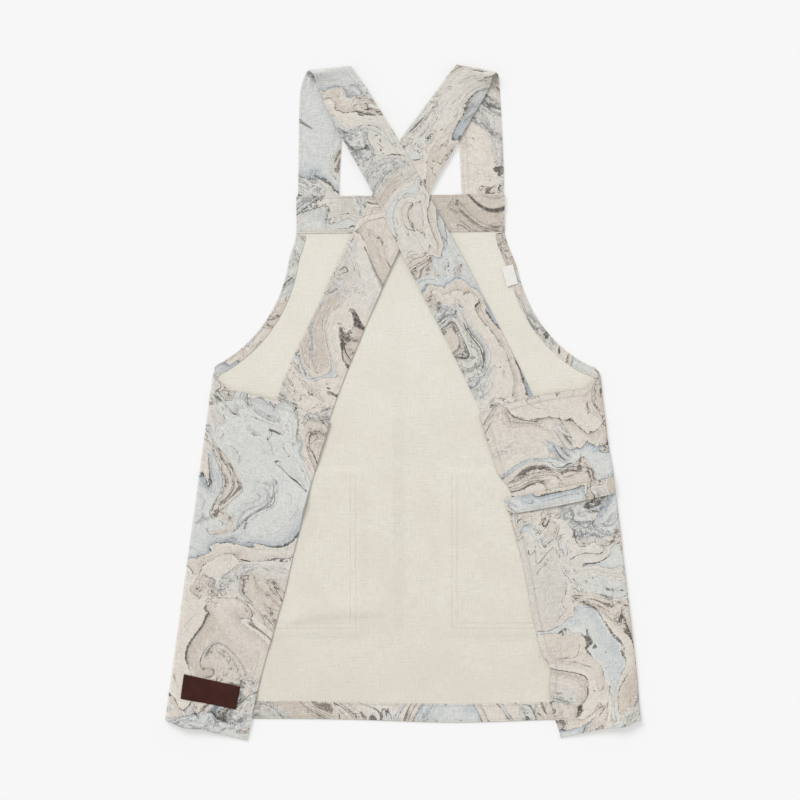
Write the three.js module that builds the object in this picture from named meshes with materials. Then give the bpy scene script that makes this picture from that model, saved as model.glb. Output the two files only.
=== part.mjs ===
// A cross-back smock lying flat, face down: millimetres, Z up, +Y towards the shoulder folds.
import * as THREE from "three";

const cloth = 1.0; // wall of a single cloth
const strapCloth = 2.0; // wall of a strap, two cloths sewn back to back
const clearance = 0.3; // between two pieces that lie on each other

const bibTop = 290; // the upper edge of the bib
const bibHalfWidth = { left: 149, right: 142 };
const bibSkew = 0.012; // the bib's upper edge rises a little towards +X
const armholeTop = 230; // the armhole is a quarter of an ellipse from here
const armholeCentre = { left: 342.5, right: 340.5 };
const armholeAcross = 185;
const armholeDrop = 198;
const armholeEnd = 49;
const armholeEase = { left: 30, right: 45 }; // it eases into the bib's side over this height

const foldTop = 45; // where the side folds begin, and their lower ends at the hem
const hemLine = -444;
const hemRaise = 2.2; // the hem lies a little higher than the folds' ends
const hemSag = { depth: 5.5, at: 0.22, width: 0.38 }; // and hangs lower right of the middle
const sideFold = {
  left: { topX: -265, hemX: -332.5 },
  right: { topX: 275, hemX: 332.5 },
};
const foldBulge = { left: 0, right: 2.6 }; // a fold lies this much further out below the towel loop
const foldRadius = 2.9; // outer radius of the rolled side fold
const rollDrop = 9; // a wing's top edge leaves the fold this far below the fold's top
const cornerDrop = { depth: 17, reach: 0.14 }; // and falls further within this share of its width
const wingTopBow = 9; // then bows up by this much
const wingHemBow = { depth: 3.5, at: 0.2, width: 0.16 }; // its lower edge bows down beside the fold

// The free edges of the two wings from top to hem, with the height of their upper face.
const freeEdge = [
  { leftX: -102, leftY: -27, rightX: 106, rightY: -17, rise: 4.8 },
  { leftX: -129, leftY: -116, rightX: 134, rightY: -107, rise: 4.7 },
  { leftX: -154, leftY: -205, rightX: 160, rightY: -198, rise: 4.2 },
  { leftX: -174, leftY: -295, rightX: 182, rightY: -288, rise: 4.2 },
  { leftX: -199, leftY: -384, rightX: 207, rightY: -379, rise: 4.4 },
  { leftX: -218, leftY: -473, rightX: 220, rightY: -469, rise: 5.2 },
];

const pocketWidth = 165;
const pocketHeight = 217;
const pocketFoot = -318.5;
const pocketInner = { left: -63.5, right: 66 };
const pocketMargin = 26; // the front lies level this far past a pocket, then eases down
const pocketEase = 24;

const bibFacingHeight = 52;
const armholeFacingWidth = 13;
const hemFacingHeight = 25;

const strapTuck = 14; // a strap's front end under the bib facing
const strapFoldRadius = 3.9;
const easeSide = 15; // the bib facing eases down this far beside a strap's end

// The straps as pairs of edge points, with the height of the underside: up from the bib, then
// from the shoulder fold down to the wing. The first strap lies on top where they cross.
const strapLeft = {
  up: [
    { leftX: -147.5, leftY: bibTop - strapTuck, rightX: -91, rightY: bibTop - strapTuck, rise: 1.3 },
    { leftX: -147, leftY: 288, rightX: -90, rightY: 289, rise: 1.3 },
    { leftX: -146.5, leftY: 310, rightX: -89, rightY: 311, rise: 0 },
    { leftX: -145.5, leftY: 386, rightX: -84, rightY: 390, rise: 0 },
    { leftX: -143.5, leftY: 438, rightX: -77, rightY: 440, rise: 0 },
  ],
  fold: { leftX: -139.5, leftY: 463, rightX: -72, rightY: 471 },
  down: [
    { leftX: -119.5, leftY: 443, rightX: -56, rightY: 447, rise: 5.4 },
    { leftX: -105, leftY: 408, rightX: -40, rightY: 421, rise: 5.1 },
    { leftX: -85, leftY: 369, rightX: -20, rightY: 389, rise: 5.1 },
    { leftX: -44, leftY: 296, rightX: 18, rightY: 324, rise: 5.2 },
    { leftX: -8, leftY: 221, rightX: 50, rightY: 264, rise: 5.2 },
    { leftX: 34, leftY: 138, rightX: 94, rightY: 183, rise: 2.6 },
    { leftX: 62, leftY: 84, rightX: 124, rightY: 126, rise: 1.5 },
    { leftX: 98, leftY: 10, rightX: 166, rightY: 43, rise: 1.3 },
    { leftX: 117, leftY: -31, rightX: 191, rightY: -10, rise: 1.3 },
  ],
};
const strapRight = {
  up: [
    { leftX: 82, leftY: bibTop - strapTuck, rightX: 140, rightY: bibTop - strapTuck, rise: 1.3 },
    { leftX: 82, leftY: 290, rightX: 140, rightY: 291, rise: 1.3 },
    { leftX: 81, leftY: 312, rightX: 141, rightY: 313, rise: 0 },
    { leftX: 77, leftY: 390, rightX: 138, rightY: 388, rise: 0 },
  ],
  fold: { leftX: 74, leftY: 473, rightX: 136, rightY: 460 },
  down: [
    { leftX: 61, leftY: 455, rightX: 121, rightY: 441, rise: 4.6 },
    { leftX: 36, leftY: 421, rightX: 90, rightY: 387, rise: 3.2 },
    { leftX: -4, leftY: 367, rightX: 52, rightY: 321, rise: 2.7 },
    { leftX: -38, leftY: 300, rightX: 16, rightY: 255, rise: 2.8 },
    { leftX: -71, leftY: 236, rightX: -14, rightY: 195, rise: 2.8 },
    { leftX: -101, leftY: 173, rightX: -39, rightY: 138, rise: 1.6 },
    { leftX: -129, leftY: 114, rightX: -65, rightY: 77, rise: 1.3 },
    { leftX: -162, leftY: 44, rightX: -90, rightY: 14, rise: 1.3 },
    { leftX: -184, leftY: -16, rightX: -109, rightY: -40, rise: 1.3 },
  ],
};

// Patches on a wing: shares of the way down the fold and of the way from the fold to the free edge.
const loopPatch = {
  from: 0.279, to: 0.325, foldEnd: -0.03, freeEnd: 1.0, tilt: 0.019, arch: 0.9, wall: 1.6,
  upper: { freeX: 141.4, freeY: -135.1, foldX: 294.7, foldY: -104.3 },
  lower: { freeX: 147.7, freeY: -156.4, foldX: 297.5, foldY: -126.7 },
  sag: 1.4, // of its lower edge between the ends
};
const labelPatch = {
  from: 0.859, to: 0.929, foldEnd: 0.12, freeEnd: 0.795, tilt: 0.0164, wall: 1.2,
};
const careTag = { x: 149.5, y: 177.7, width: 16, length: 28, turn: -0.26 };

const { lerp, smoothstep } = THREE.MathUtils;

// A closed wall between an outer and an inner face, both given over a grid of cells.
function wall(rowCount, columnCount, pointAt, hasCell = () => true) {
  const points = [];
  const triangles = [];
  const numbers = new Map();
  const inGrid = (i, j) => i >= 0 && j >= 0 && i < rowCount - 1 && j < columnCount - 1;
  const present = (i, j) => inGrid(i, j) && hasCell(i, j);
  const number = (i, j, inner) => {
    const key = (i * columnCount + j) * 2 + inner;
    if (!numbers.has(key)) {
      numbers.set(key, points.length / 3);
      points.push(...pointAt(i, j, inner));
    }
    return numbers.get(key);
  };
  const quad = (a, b, c, d) => triangles.push(a, b, c, a, c, d);
  const rim = (i, j, k, l) => quad(number(i, j, 0), number(k, l, 0), number(k, l, 1), number(i, j, 1));
  for (let i = 0; i < rowCount - 1; i += 1) {
    for (let j = 0; j < columnCount - 1; j += 1) {
      if (!present(i, j)) continue;
      const ring = [[i, j], [i, j + 1], [i + 1, j + 1], [i + 1, j]];
      quad(...ring.map(([k, l]) => number(k, l, 1)));
      quad(...ring.reverse().map(([k, l]) => number(k, l, 0)));
      if (!present(i - 1, j)) rim(i, j, i, j + 1);
      if (!present(i + 1, j)) rim(i + 1, j + 1, i + 1, j);
      if (!present(i, j - 1)) rim(i + 1, j, i, j);
      if (!present(i, j + 1)) rim(i, j + 1, i + 1, j + 1);
    }
  }
  const geometry = new THREE.BufferGeometry();
  geometry.setAttribute("position", new THREE.Float32BufferAttribute(points, 3));
  geometry.setIndex(triangles);
  geometry.computeVertexNormals();
  return geometry;
}

// Evenly spaced shares from one end to the other.
const steps = (count, from = 0, to = 1) =>
  Array.from({ length: count + 1 }, (_, k) => lerp(from, to, k / count));

// Half the width of the bib at a height: the armhole's ellipse, easing into the straight sides.
function bibHalf(side, y) {
  const drop = THREE.MathUtils.clamp((armholeTop - y) / armholeDrop, 0, 1);
  const ellipse = armholeCentre[side] - armholeAcross * Math.sqrt(1 - drop * drop);
  const straight = smoothstep(y, armholeTop - armholeEase[side], armholeTop + 12);
  return lerp(ellipse, bibHalfWidth[side], straight);
}

// A point of the bib's edge on one side, skewed as the bib lies.
function bibEdge(side, y) {
  const x = bibHalf(side, y) * (side === "left" ? -1 : 1);
  return new THREE.Vector2(x, y + bibSkew * x * smoothstep(y, armholeEnd, bibTop));
}

// The front rises over each pocket by one cloth and a clearance, and eases down around it.
function pocketRelief(x, y) {
  const outside = [pocketInner.left - pocketWidth, pocketInner.right].map((start) =>
    Math.max(
      start - x,
      x - start - pocketWidth,
      pocketFoot - y,
      y - pocketFoot - pocketHeight,
    ));
  const near = Math.min(...outside);
  const level = 1 - smoothstep(near, pocketMargin, pocketMargin + pocketEase);
  return level * (cloth + clearance);
}

const edgeCurve = {
  left: new THREE.CatmullRomCurve3(
    freeEdge.map((row) => new THREE.Vector3(row.leftX, row.leftY, row.rise)),
  ),
  right: new THREE.CatmullRomCurve3(
    freeEdge.map((row) => new THREE.Vector3(row.rightX, row.rightY, row.rise)),
  ),
};

// A point of the side fold's outermost line, a share of the way from its top to the hem.
function foldLine(side, share) {
  const { topX, hemX } = sideFold[side];
  const bulge = foldBulge[side] * smoothstep(share, 0.2, 0.3) * (1 - smoothstep(share, 0.85, 1));
  return new THREE.Vector2(lerp(topX, hemX, share) + bulge, lerp(foldTop, hemLine, share));
}

// The direction from the side fold towards the middle, square to the fold.
function foldInward(side) {
  const along = foldLine(side, 1).sub(foldLine(side, 0)).normalize();
  const inward = new THREE.Vector2(-along.y, along.x);
  return side === "left" ? inward : inward.negate();
}

// A point of the rolled fold: turn goes from 0 on the front to a half turn on the wing.
function foldPoint(side, share, turn, depth) {
  const lower = (rollDrop / (foldTop - hemLine)) * (1 - share) ** 2 * (1 - Math.cos(turn)) * 0.5;
  const radius = foldRadius - depth;
  const out = foldRadius - radius * Math.sin(turn);
  const at = foldLine(side, share + lower).addScaledVector(foldInward(side), out);
  return [at.x, at.y, foldRadius - radius * Math.cos(turn)];
}

// A point of a wing: across goes from the fold to the free edge, depth from its upper face down.
function wingPoint(side, share, across, depth) {
  const [x, y, z] = foldPoint(side, share, Math.PI, 0);
  const edge = edgeCurve[side].getPoint(share);
  const bow = wingTopBow * 4 * Math.max(across, 0) * (1 - across) * (1 - share) ** 3;
  const corner = cornerDrop.depth * smoothstep(across, 0, cornerDrop.reach) * (1 - across) * (1 - share) ** 2;
  const hemPlace = (across - wingHemBow.at) / wingHemBow.width;
  const hemBow = wingHemBow.depth * Math.exp(-(hemPlace ** 2)) * smoothstep(across, 0, 0.1) * share ** 20;
  const settle = smoothstep(across, 0, 0.8);
  const at = lerp(y, edge.y, across) + bow - corner - hemBow;
  return [lerp(x, edge.x, across), at, lerp(z, edge.z, settle) - depth];
}

// How far the hem lies above the line between the folds' ends.
function hemLie(across) {
  const sag = hemSag.depth * Math.exp(-(((across - hemSag.at) / hemSag.width) ** 2));
  return (hemRaise - sag) * (1 - across ** 8);
}

// A point of the front, from one side (-1) to the other (+1), at a row of the skirt or of the bib.
function frontPoint(row, across, depth) {
  const share = (across + 1) / 2;
  if (row.skirt === undefined) {
    const lift = smoothstep(row.bib, armholeEnd, bibTop);
    const spread = ["left", "right"].map((side) => {
      const foldX = foldPoint(side, 0, 0, 0)[0];
      const half = bibHalf(side, Math.max(row.bib, armholeEnd));
      const edgeX = side === "left" ? -half : half;
      return lerp(foldX, edgeX, smoothstep(row.bib, foldTop - 1, armholeEnd + 6));
    });
    const x = lerp(...spread, share);
    return [x, row.bib + bibSkew * x * lift, depth];
  }
  const left = foldPoint("left", row.skirt, 0, 0);
  const right = foldPoint("right", row.skirt, 0, 0);
  const x = lerp(left[0], right[0], share);
  const y = lerp(left[1], right[1], share) + hemLie(across) * row.skirt ** 6;
  return [x, y, pocketRelief(x, y) + depth];
}

// The body in one cloth: wing, fold, front, fold, wing, with the bib above the folds.
function bodyPanel() {
  const rows = [
    ...steps(20, 1, 0).map((skirt) => ({ skirt })),
    ...steps(10, armholeEnd, armholeTop).map((bib) => ({ bib })),
    ...[armholeTop + 12, 266, bibTop].map((bib) => ({ bib })),
  ];
  const skirtRows = 20;
  const columns = [
    ...steps(7, 1, 0).map((across) => ({ side: "left", across })),
    ...steps(6, Math.PI, 0).slice(1).map((turn) => ({ side: "left", turn })),
    ...steps(24, -1, 1).slice(1, -1).map((front) => ({ front })),
    ...steps(6, 0, Math.PI).slice(0, -1).map((turn) => ({ side: "right", turn })),
    ...steps(7, 0, 1).map((across) => ({ side: "right", across })),
  ];
  const firstFront = columns.findIndex((column) => column.turn === 0);
  const lastFront = columns.length - 1 - firstFront;
  const pointAt = (i, j, inner) => {
    const column = columns[j];
    const depth = inner * cloth;
    if (rows[i].bib !== undefined) {
      return frontPoint(rows[i], lerp(-1, 1, (j - firstFront) / (lastFront - firstFront)), depth);
    }
    if (column.across !== undefined) {
      return wingPoint(column.side, rows[i].skirt, column.across, depth);
    }
    if (column.turn !== undefined) {
      return foldPoint(column.side, rows[i].skirt, column.turn, depth);
    }
    return frontPoint(rows[i], column.front, depth);
  };
  const hasCell = (i, j) => i < skirtRows || (j >= firstFront && j < lastFront);
  return wall(rows.length, columns.length, pointAt, hasCell);
}

// The turned-up hem, on the inside of the front from fold to fold.
function hemFacing() {
  const inset = 0.985; // its ends stay clear of the folds
  const acrosses = steps(24, -inset, inset);
  const skirts = steps(2, 1, 1 - hemFacingHeight / (foldTop - hemLine));
  const base = cloth + clearance;
  return wall(skirts.length, acrosses.length, (i, j, inner) =>
    frontPoint({ skirt: skirts[i] }, acrosses[j], base + inner * cloth));
}

// The facing of the bib, raised where the ends of the straps lie under it.
function bibFacing() {
  const ends = [strapLeft, strapRight].map(({ up }) => [up[0].leftX, up[0].rightX]);
  const inner = [ends[0][1], ends[1][0]];
  const xs = [
    ...steps(3, -bibHalfWidth.left, inner[0] + 3),
    ...steps(4, inner[0] + 3 + easeSide, inner[1] - 3 - easeSide),
    ...steps(3, inner[1] - 3, bibHalfWidth.right),
  ];
  const ys = [bibTop - bibFacingHeight, 256, bibTop - strapTuck - 4, bibTop];
  const base = cloth + clearance;
  return wall(ys.length, xs.length, (i, j, inside) => {
    const overStrap = xs[j] <= inner[0] + 4 || xs[j] >= inner[1] - 4;
    const raised = overStrap && i >= 2 ? strapCloth + clearance : 0;
    return [xs[j], ys[i] + bibSkew * xs[j], base + raised + inside * cloth];
  });
}

// A facing along one armhole: outer edge on the cloth's edge, inner edge square to it.
function armholeFacing(side) {
  const sign = side === "left" ? -1 : 1;
  const last = Math.asin((armholeTop - armholeEnd - 7) / armholeDrop); // clear of the side fold
  const ys = [
    ...steps(14, last, 0).map((angle) => armholeTop - armholeDrop * Math.sin(angle)),
    bibTop - bibFacingHeight - 1,
  ];
  const shares = side === "left" ? [0, 0.5, 1] : [1, 0.5, 0];
  const base = cloth + clearance;
  return wall(ys.length, shares.length, (i, j, inner) => {
    const along = bibEdge(side, ys[i] + 1).sub(bibEdge(side, ys[i] - 1)).normalize();
    const inset = sign * armholeFacingWidth * shares[j];
    const edge = bibEdge(side, ys[i]);
    return [edge.x - along.y * inset, edge.y + along.x * inset, base + inner * cloth];
  });
}

// A strap: up from the bib, round the shoulder fold, and down to the wing.
function strap({ up, fold, down }) {
  const edge = (row, name) => new THREE.Vector3(row[`${name}X`], row[`${name}Y`], row.rise);
  const foldEdge = ["left", "right"].map((name) => edge({ ...fold, rise: 0 }, name));
  const along = foldEdge[1].clone().sub(foldEdge[0]).normalize();
  const back = new THREE.Vector3(along.y, -along.x, 0).multiplyScalar(strapFoldRadius);
  const foldRise = 2 * strapFoldRadius - strapCloth;
  const curves = ["left", "right"].map((name, k) => {
    const turn = foldEdge[k].clone().add(back);
    const top = turn.clone().setZ(foldRise);
    return {
      up: new THREE.CatmullRomCurve3([...up.map((row) => edge(row, name)), turn], false, "centripetal"),
      down: new THREE.CatmullRomCurve3([top, ...down.map((row) => edge(row, name))], false, "centripetal"),
    };
  });
  const rows = [
    ...steps(12).map((share) => ({ run: "up", share })),
    ...steps(8, 0, Math.PI).slice(1, -1).map((turn) => ({ turn })),
    ...steps(30).map((share) => ({ run: "down", share })),
  ];
  const acrosses = steps(4);
  return wall(rows.length, acrosses.length, (i, j, inner) => {
    const { run, share, turn } = rows[i];
    const depth = inner * strapCloth;
    if (turn !== undefined) {
      const radius = strapFoldRadius - depth;
      const at = foldEdge[0].clone().lerp(foldEdge[1], acrosses[j]);
      at.addScaledVector(back, 1 - (radius / strapFoldRadius) * Math.sin(turn));
      return [at.x, at.y, strapFoldRadius - radius * Math.cos(turn)];
    }
    const [left, right] = curves.map((curve) => curve[run].getPoint(share));
    const at = left.lerp(right, acrosses[j]);
    const rise = Math.max(at.z, 0);
    return [at.x, at.y, run === "up" ? rise + depth : rise + strapCloth - depth];
  });
}

// A patch pocket: a level cloth under the front.
function pocket(side) {
  const geometry = new THREE.BoxGeometry(pocketWidth, pocketHeight, cloth);
  const start = side === "left" ? pocketInner.left - pocketWidth : pocketInner.right;
  return geometry.translate(start + pocketWidth / 2, pocketFoot + pocketHeight / 2, cloth / 2);
}

// The label: a patch lying on the left wing, following its slope.
function label() {
  const { from, to, foldEnd, freeEnd, tilt } = labelPatch;
  const shares = steps(2, to, from);
  const acrosses = steps(8, foldEnd, freeEnd);
  return wall(shares.length, acrosses.length, (i, j, inner) => {
    const height = clearance + inner * labelPatch.wall;
    return wingPoint("left", shares[i] - tilt * acrosses[j], acrosses[j], -height);
  });
}

// The towel loop: a straight strip at the wing's height, with an arch between its sewn ends.
function towelLoop() {
  const { from, to, foldEnd, freeEnd, tilt, arch, upper, lower, sag } = loopPatch;
  const rows = steps(2);
  const columns = steps(8);
  return wall(rows.length, columns.length, (i, j, inner) => {
    const middle = Math.sin(Math.PI * columns[j]);
    const across = lerp(freeEnd, foldEnd, columns[j]);
    const height = clearance + arch * middle + inner * loopPatch.wall;
    const z = wingPoint("right", lerp(to, from, rows[i]) - tilt * across, across, -height)[2];
    const [low, high] = [lower, upper].map(({ freeX, freeY, foldX, foldY }) =>
      new THREE.Vector2(freeX, freeY).lerp(new THREE.Vector2(foldX, foldY), columns[j]),
    );
    const at = low.lerp(high, rows[i]);
    return [at.x, at.y - sag * middle * (1 - rows[i]), z];
  });
}

// The small tag at the right armhole, on top of the facing.
function tag() {
  const geometry = new THREE.BoxGeometry(careTag.width, careTag.length, cloth);
  const level = 2 * (cloth + clearance) + cloth / 2;
  return geometry.rotateZ(-careTag.turn).translate(careTag.x, careTag.y, level);
}

const printed = new THREE.MeshStandardMaterial({ color: 0xd6d3cb, roughness: 0.9, metalness: 0 });
const plain = new THREE.MeshStandardMaterial({ color: 0xe3dfd0, roughness: 0.92, metalness: 0 });
const leather = new THREE.MeshStandardMaterial({ color: 0x3e1c14, roughness: 0.6, metalness: 0 });
const tape = new THREE.MeshStandardMaterial({ color: 0xf1f0ec, roughness: 0.7, metalness: 0 });

const pieces = [
  ["body_panel", bodyPanel(), plain],
  ["hem_facing", hemFacing(), printed],
  ["bib_facing", bibFacing(), printed],
  ["armhole_facing_left", armholeFacing("left"), printed],
  ["armhole_facing_right", armholeFacing("right"), printed],
  ["strap_left", strap(strapLeft), printed],
  ["strap_right", strap(strapRight), printed],
  ["pocket_left", pocket("left"), printed],
  ["pocket_right", pocket("right"), printed],
  ["towel_loop", towelLoop(), printed],
  ["label_patch", label(), leather],
  ["care_tag", tag(), tape],
];

const smock = new THREE.Group();
smock.name = "smock";
for (const [name, geometry, material] of pieces) {
  const mesh = new THREE.Mesh(geometry, material);
  mesh.name = name;
  smock.add(mesh);
}

export default smock;
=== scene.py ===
from math import pi, radians

import bpy
import numpy as np
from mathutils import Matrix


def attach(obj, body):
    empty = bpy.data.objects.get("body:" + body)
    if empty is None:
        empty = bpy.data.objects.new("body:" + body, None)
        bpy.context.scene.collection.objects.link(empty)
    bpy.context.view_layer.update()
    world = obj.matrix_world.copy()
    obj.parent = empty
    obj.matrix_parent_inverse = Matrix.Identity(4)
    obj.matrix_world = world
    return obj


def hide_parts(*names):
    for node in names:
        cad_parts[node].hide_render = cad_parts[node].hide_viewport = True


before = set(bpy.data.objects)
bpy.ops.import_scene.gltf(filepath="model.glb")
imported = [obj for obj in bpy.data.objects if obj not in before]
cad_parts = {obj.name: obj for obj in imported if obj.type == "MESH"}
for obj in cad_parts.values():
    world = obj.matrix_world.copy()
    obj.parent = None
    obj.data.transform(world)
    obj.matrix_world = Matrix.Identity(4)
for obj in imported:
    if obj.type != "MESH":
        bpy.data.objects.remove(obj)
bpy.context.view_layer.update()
mm = 0.001  # lengths are in millimetres, the sizes and the stage in metres
upward = np.array([0.0, 0.0, 1.0])
hands = {-1: "left", 1: "right"}
print("frame loaded")


# numbers along a line, grids and meshes

# a step from 0 to 1 between low and high, eased at both ends
def ease(x, low, high):
    t = np.clip((x - low) / (high - low), 0, 1)
    return t * t * (3 - 2 * t)


# 1 from hold to leave, easing in from rise and out to fall
def window(x, rise, hold, leave, fall):
    return ease(x, rise, hold) * (1 - ease(x, leave, fall))


# the straight mix of a and b
def blend(a, b, t):
    return a + (b - a) * t


# places from 0 to 1 on a line of some length: coarse steps, but fine ones within a band at its end and,
# where start is set, within a band at its start
def graded(length, coarse, fine, band, start=True):
    low = band / length if start else 0
    high = 1 - band / length
    parts = [np.linspace(low, high, max(2, round((high - low) * length / coarse) + 1))]
    if start:
        parts.insert(0, np.linspace(0, low, round(band / fine) + 1)[:-1])
    parts.append(np.linspace(high, 1, round(band / fine) + 1)[1:])
    return np.concatenate(parts)


# a gentle uneven wave: cosines of nearly one wavelength in seeded directions, summed over the root of their
# number
def ripple(x, y, wavelength, seed, count=9):
    dice = np.random.default_rng(seed)
    heading = dice.uniform(0, 2 * pi, count)
    reach = 2 * pi / (wavelength * dice.uniform(0.7, 1.6, count))
    phase = dice.uniform(0, 2 * pi, count)
    x = np.asarray(x)[..., None]
    y = np.asarray(y)[..., None]
    return np.cos(reach * (x * np.cos(heading) + y * np.sin(heading)) + phase).sum(-1) / count ** 0.5


# a bump of height 1 about a centre line, its width to either side
def ridge(x, centre, width):
    return np.exp(-((x - centre) / width) ** 2)


# the smooth curve through points (centripetal Catmull-Rom), at places counted 0 .. n-1
def curveThrough(points, at):
    points = np.asarray(points, float)
    last = len(points) - 1
    padded = np.concatenate([2 * points[:1] - points[1:2], points, 2 * points[-1:] - points[-2:-1]])
    first = np.clip(np.floor(at).astype(int), 0, last - 1)
    p0, p1, p2, p3 = (padded[first + k] for k in range(4))
    gap0, gap1, gap2 = (np.maximum(np.linalg.norm(b - a, axis=-1, keepdims=True), 1e-6) ** 0.5
                        for a, b in ((p0, p1), (p1, p2), (p2, p3)))
    leave = ((p1 - p0) / gap0 - (p2 - p0) / (gap0 + gap1) + (p2 - p1) / gap1) * gap1
    arrive = ((p2 - p1) / gap1 - (p3 - p1) / (gap1 + gap2) + (p3 - p2) / gap2) * gap1
    t = (at - first)[..., None]
    return (p1 + leave * t + (3 * (p2 - p1) - 2 * leave - arrive) * t ** 2
            + (2 * (p1 - p2) + leave + arrive) * t ** 3)


# numbers side by side as places
def stack(*parts):
    return np.stack(np.broadcast_arrays(*parts), -1).astype(float)


# places moved by an amount, upward unless another way is given
def lifted(base, amount, way=upward):
    return base + way * amount[..., None]


# the length run along a path up to each of its points
def runLength(path):
    return np.concatenate([[0], np.cumsum(np.linalg.norm(np.diff(path, axis=0), axis=1))])


# values along a path, read at places counted by the length run
def readAlong(length, values, place):
    return np.stack([np.interp(place, length, values[:, k]) for k in range(3)], -1)


# which of the places lies nearest to a goal
def nearest(places, goal):
    return np.argmin(np.abs(places - goal))


# how far each share of a length lies from the nearer end
def endInset(share, length):
    return np.minimum(share, 1 - share) * length


# a new object in the scene
def placed(name, data):
    made = bpy.data.objects.new(name, data)
    bpy.context.scene.collection.objects.link(made)
    return made


# one closed wall of cloth: an outer and an inner grid joined round every open edge, for the cells that are
# set; seam is how much painted shade a place gets, 1 in the groove of a row of stitches
def clothWall(name, outer, inner, flat, materials, cells=None, seam=None):
    rows, columns = outer.shape[:2]
    if cells is None:
        cells = np.ones((rows - 1, columns - 1), bool)
    ids = np.arange(rows * columns).reshape(rows, columns)
    far = rows * columns
    a, b, c, d = ids[:-1, :-1], ids[:-1, 1:], ids[1:, 1:], ids[1:, :-1]
    padded = np.pad(cells, 1)
    sides = [(a, b, padded[:-2, 1:-1]), (c, d, padded[2:, 1:-1]),
             (d, a, padded[1:-1, :-2]), (b, c, padded[1:-1, 2:])]
    quads = [np.stack([a, d, c, b], -1)[cells], np.stack([a, b, c, d], -1)[cells] + far]
    quads += [np.stack([p, q, q + far, p + far], -1)[cells & ~beyond] for p, q, beyond in sides]
    slots = np.repeat([0, 1, 2, 2, 2, 2], [len(q) for q in quads])
    points = np.concatenate([outer.reshape(-1, 3), inner.reshape(-1, 3)]) * mm
    both = np.tile(flat.reshape(-1, 2), (2, 1)) * mm
    sewn = np.zeros(far) if seam is None else seam.ravel()
    return meshPiece(name, points, np.concatenate(quads), materials, slots, both, np.tile(sewn, 2))


# a mesh object from arrays, with the vertices that no face uses left out
def meshPiece(name, points, faces, materials, slots=None, flat=None, seam=None):
    used, faces = np.unique(faces, return_inverse=True)
    faces = faces.reshape(-1, 4)
    mesh = bpy.data.meshes.new(name)
    mesh.from_pydata(points[used].tolist(), [], faces.tolist())
    for material in materials:
        mesh.materials.append(material)
    if slots is not None:
        mesh.polygons.foreach_set("material_index", slots.astype(np.int32))
    if flat is not None:
        layer = mesh.uv_layers.new(name="cut")
        layer.uv.foreach_set("vector", flat[used][faces.ravel()].astype(np.float32).ravel())
    # the seam attribute carries painted shade for the seam grooves and the wings' edges
    if seam is not None:
        depth = mesh.attributes.new("seam", "FLOAT", "POINT")
        depth.data.foreach_set("value", seam[used].astype(np.float32))
    mesh.polygons.foreach_set("use_smooth", np.ones(len(faces), bool))
    mesh.set_sharp_from_angle(angle=radians(48))
    piece = placed(name, mesh)
    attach(piece, "root")
    return piece


# the frame's part that a piece of cloth stands for, hidden
def declare(node):
    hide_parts(node)


# shader writing

# a socket that can be written in sums: each operator adds one Math node
class Wire:
    def __init__(self, tree, socket=None):
        self.tree = tree
        self.socket = socket

    # any node: its type, its settings first, then values or wires for its sockets
    def node(self, kind, settings=None, sockets=None, out=0):
        made = self.tree.nodes.new(kind)
        for key, value in (settings or {}).items():
            if key == "stops":
                for place, colour in value[1:-1]:
                    made.color_ramp.elements.new(place).color = colour
                made.color_ramp.elements[0].color = value[0][1]
                made.color_ramp.elements[len(value) - 1].color = value[-1][1]
            else:
                setattr(made, key, value)
        for key, value in (sockets or {}).items():
            if isinstance(value, Wire):
                self.tree.links.new(value.socket, made.inputs[key])
            else:
                made.inputs[key].default_value = value
        return Wire(self.tree, made.outputs[out])

    def math(self, operation, *values):
        return self.node("ShaderNodeMath", {"operation": operation}, dict(enumerate(values)))

    def __add__(self, other):
        return self.math("ADD", self, other)

    def __radd__(self, other):
        return self.math("ADD", other, self)

    def __sub__(self, other):
        return self.math("SUBTRACT", self, other)

    def __rsub__(self, other):
        return self.math("SUBTRACT", other, self)

    def __mul__(self, other):
        return self.math("MULTIPLY", self, other)

    def __rmul__(self, other):
        return self.math("MULTIPLY", other, self)

    def __abs__(self):
        return self.math("ABSOLUTE", self)


# screen colour 0-255 to the light values that shaders use
def tone(red, green, blue):
    c = np.array([red, green, blue]) / 255
    light = np.where(c <= 0.04045, c / 12.92, ((c + 0.055) / 1.055) ** 2.4)
    return (*light.tolist(), 1.0)


# cloudy noise over the place: a value, or a colour from its second socket
def noise(at, scale, detail=2.0, rough=0.5, out=0):
    return at.node("ShaderNodeTexNoise", {"noise_dimensions": "2D"},
                   {"Vector": at, "Scale": scale, "Detail": detail, "Roughness": rough}, out)


# the place pushed sideways by a noise colour
def pushed(at, push, amount):
    centred = at.node("ShaderNodeVectorMath", {"operation": "SUBTRACT"}, {0: push, 1: (0.5, 0.5, 0.5)})
    return at.node("ShaderNodeVectorMath", {"operation": "MULTIPLY_ADD"},
                   {0: centred, 1: (amount, amount, 0), 2: at})


# the place scaled, then moved
def shifted(at, x, y, scaleX=1.0, scaleY=1.0):
    return at.node("ShaderNodeMapping", {},
                   {"Vector": at, "Location": (x, y, 0), "Scale": (scaleX, scaleY, 1)})


# a step from 0 to 1 between low and high, eased at both ends
def fade(value, low, high):
    return value.node("ShaderNodeMapRange", {"interpolation_type": "SMOOTHSTEP"},
                      {"Value": value, "From Min": low, "From Max": high})


# colour a turned into colour b by a factor
def mixed(factor, a, b):
    return factor.node("ShaderNodeMix", {"data_type": "RGBA"}, {0: factor, 6: a, 7: b}, 2)


# colours laid over an ink one after another, each by its mask and with the look's strength
def layered(ink, look, masks):
    for name, mask in masks.items():
        strength, colour = look[name]
        ink = mixed(mask * strength, ink, colour)
    return ink


# the largest of several values
def most(*values):
    result = values[0]
    for value in values[1:]:
        result = result.math("MAXIMUM", result, value)
    return result


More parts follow.
